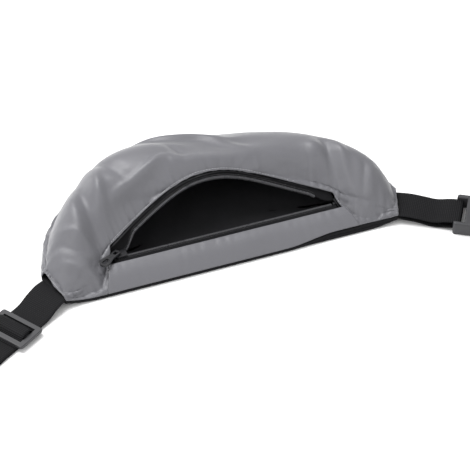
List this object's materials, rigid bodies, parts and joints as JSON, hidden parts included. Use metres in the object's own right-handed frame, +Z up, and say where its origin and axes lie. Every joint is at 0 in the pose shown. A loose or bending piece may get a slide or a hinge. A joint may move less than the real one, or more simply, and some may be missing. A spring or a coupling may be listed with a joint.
{
  "type": "waist pack",
  "caption": "Crescent waist pack lying on its padded back, coil zip open, with webbing belt ends, a sliding adjuster and a side-release buckle.",
  "frame": {"origin": "middle of the near edge of the back panel, on its flat rest face", "axes": "+X towards the right wing, which carries the buckle socket; +Y from the straight near edge to the curved far edge; +Z up, away from the back panel"},
  "size_m": [0.7319, 0.3614, 0.064],
  "materials": {
    "grey_nylon": "smooth satin coated nylon, light grey",
    "black_nylon": "matt black woven nylon",
    "lining_fabric": "thin dark woven lining",
    "foam": "soft foam sheet",
    "zip_tape": "black knitted zip tape",
    "zip_coil": "black nylon coil",
    "slider_paint": "black satin paint",
    "webbing": "black ribbed nylon webbing",
    "hardware_plastic": "dark grey moulded acetal"
  },
  "bodies": {
    "pack": {"back_panel": "black_nylon", "back_padding": "foam", "back_lining": "lining_fabric", "seam_binding": "black_nylon", "front_panel": "grey_nylon", "front_lining": "lining_fabric", "lower_strip": "grey_nylon", "lower_lining": "lining_fabric", "zip_tape_lower": "zip_tape", "zip_tape_upper": "zip_tape", "zip_coil_lower": "zip_coil", "zip_coil_upper": "zip_coil", "zip_bottom_stop": "zip_coil", "zip_top_stop_lower": "zip_coil", "short_strap": "webbing", "strap_upper_layer": "webbing"},
    "slider": {"zip_slider": "slider_paint"},
    "pull": {"zip_pull_tab": "slider_paint"},
    "adjuster": {"adjuster": "hardware_plastic", "adjuster_loop": "webbing"},
    "belt_end": {"strap_lower_layer": "webbing", "strap_fold": "webbing"},
    "plug": {"plug_base": "hardware_plastic"},
    "near_prong": {"prong_near": "hardware_plastic"},
    "far_prong": {"prong_far": "hardware_plastic"},
    "socket": {"socket": "hardware_plastic"}
  },
  "joints": [
    {"name": "zip_slide", "type": "slide", "parent": "pack", "child": "slider", "axis": [1, 0, 0], "range_m": [0, 0.1869]},
    {"name": "pull_swing", "type": "hinge", "parent": "slider", "child": "pull", "pos_m": [-0.09607, 0.02845, 0.02067], "axis": [-0.5446, 0.8387, 0], "range_deg": [0, 110]},
    {"name": "adjuster_slide", "type": "slide", "parent": "pack", "child": "adjuster", "axis": [-0.8335, -0.5525, 0], "range_m": [0, 0.4], "deforming": ["strap_upper_layer"]},
    {"name": "belt_extend", "type": "slide", "parent": "pack", "child": "belt_end", "axis": [-0.8335, -0.5525, 0], "range_m": [0, 0.2], "deforming": ["strap_lower_layer"]},
    {"name": "plug_swing", "type": "hinge", "parent": "belt_end", "child": "plug", "pos_m": [-0.43207, -0.16781, 0.0047], "axis": [-0.5525, 0.8335, 0], "range_deg": [0, 80]},
    {"name": "near_prong_flex", "type": "hinge", "parent": "plug", "child": "near_prong", "pos_m": [-0.4372, -0.18993, 0.0047], "axis": [0, 0, -1], "range_deg": [0, 8], "stiffness_Nm_per_rad": 0.05},
    {"name": "far_prong_flex", "type": "hinge", "parent": "plug", "child": "far_prong", "pos_m": [-0.45444, -0.16392, 0.0047], "axis": [0, 0, 1], "range_deg": [0, 8], "stiffness_Nm_per_rad": 0.05},
    {"name": "socket_swing", "type": "hinge", "parent": "pack", "child": "socket", "pos_m": [0.20086, -0.01344, 0.0062], "axis": [-0.5378, -0.843, 0], "range_deg": [0, 80]}
  ],
  "couplings": [
    {"joint": "belt_extend", "follows": "adjuster_slide", "ratio": 0.5},
    {"joint": "far_prong_flex", "follows": "near_prong_flex", "ratio": 1}
  ]
}
